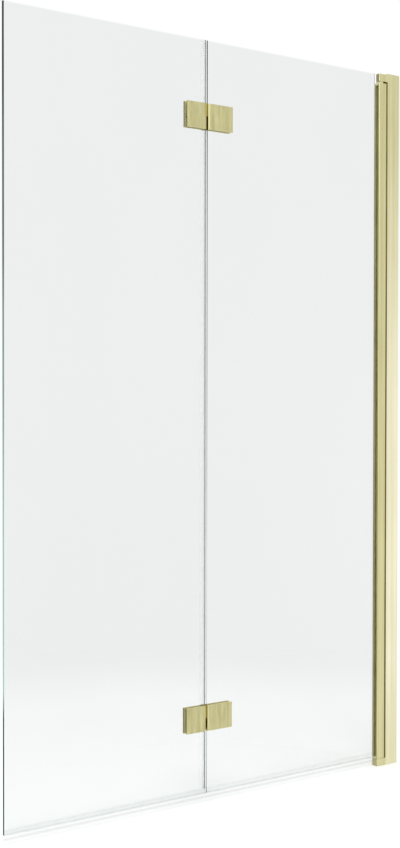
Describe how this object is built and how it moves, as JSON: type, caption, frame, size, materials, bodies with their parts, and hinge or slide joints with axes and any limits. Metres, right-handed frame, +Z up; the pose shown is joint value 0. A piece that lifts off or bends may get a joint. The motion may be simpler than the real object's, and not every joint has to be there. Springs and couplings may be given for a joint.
{
  "type": "folding bath screen",
  "caption": "Bath screen of clear glass panes in a brushed brass wall post: the inner pane swings on the post and the outer pane folds behind it on clamp hinges.",
  "frame": {"origin": "on the wall face of the wall channel, at its foot on the bath rim and in the middle plane of the glass", "axes": "+X out of the wall channel's back into the wall, so the screen stands out along -X; +Y toward the bath, so the room and the picture's camera are at -Y; +Z up"},
  "size_m": [0.9, 0.0184, 1.4],
  "materials": {
    "profile_brass": "anodised pale brass, brushed along its length",
    "hinge_brass": "pale brass, brushed upright",
    "trim_brass": "satin, moulded in the brass colour",
    "steel": "plain stainless",
    "glass": "clear toughened glass with polished, faintly green edges",
    "seal_pvc": "clear soft PVC",
    "gasket_rubber": "matt, moulded in the brass colour",
    "nylon": "plain"
  },
  "bodies": {
    "wall_post": {"wall_channel": "profile_brass", "channel_cap": "trim_brass", "inner_post": "profile_brass", "adjust_screws": "steel", "screw_covers": "trim_brass", "top_pivot_block": "hinge_brass", "bottom_pivot_block": "hinge_brass", "top_block_screws": "steel", "bottom_block_screws": "steel", "top_bush": "nylon", "bottom_bush": "nylon", "bottom_thrust_washer": "nylon"},
    "inner_panel": {"pivot_profile": "profile_brass", "top_end_plug": "hinge_brass", "bottom_end_plug": "hinge_brass", "top_pivot_pin": "steel", "bottom_pivot_pin": "steel", "top_collar": "hinge_brass", "end_plug_screws": "steel", "glazing_gasket": "gasket_rubber", "inner_glass": "glass", "inner_bottom_seal": "seal_pvc", "upper_hinge_pin": "steel", "upper_inner_front_plate": "hinge_brass", "upper_inner_rear_plate": "hinge_brass", "upper_inner_front_gasket": "gasket_rubber", "upper_inner_rear_gasket": "gasket_rubber", "upper_inner_screws": "steel", "lower_hinge_pin": "steel", "lower_inner_front_plate": "hinge_brass", "lower_inner_rear_plate": "hinge_brass", "lower_inner_front_gasket": "gasket_rubber", "lower_inner_rear_gasket": "gasket_rubber", "lower_inner_screws": "steel"},
    "outer_panel": {"outer_glass": "glass", "outer_bottom_seal": "seal_pvc", "joint_seal_top": "seal_pvc", "joint_seal_middle": "seal_pvc", "joint_seal_bottom": "seal_pvc", "upper_outer_front_plate": "hinge_brass", "upper_outer_rear_plate": "hinge_brass", "upper_outer_front_gasket": "gasket_rubber", "upper_outer_rear_gasket": "gasket_rubber", "upper_outer_screws": "steel", "lower_outer_front_plate": "hinge_brass", "lower_outer_rear_plate": "hinge_brass", "lower_outer_front_gasket": "gasket_rubber", "lower_outer_rear_gasket": "gasket_rubber", "lower_outer_screws": "steel"}
  },
  "joints": [
    {"name": "swing", "type": "hinge", "parent": "wall_post", "child": "inner_panel", "pos_m": [-0.0472, 0, 0.7], "axis": [0, 0, 1], "range_deg": [-90, 90]},
    {"name": "fold", "type": "hinge", "parent": "inner_panel", "child": "outer_panel", "pos_m": [-0.485, 0.0067, 0.7], "axis": [0, 0, -1], "range_deg": [0, 180]}
  ]
}
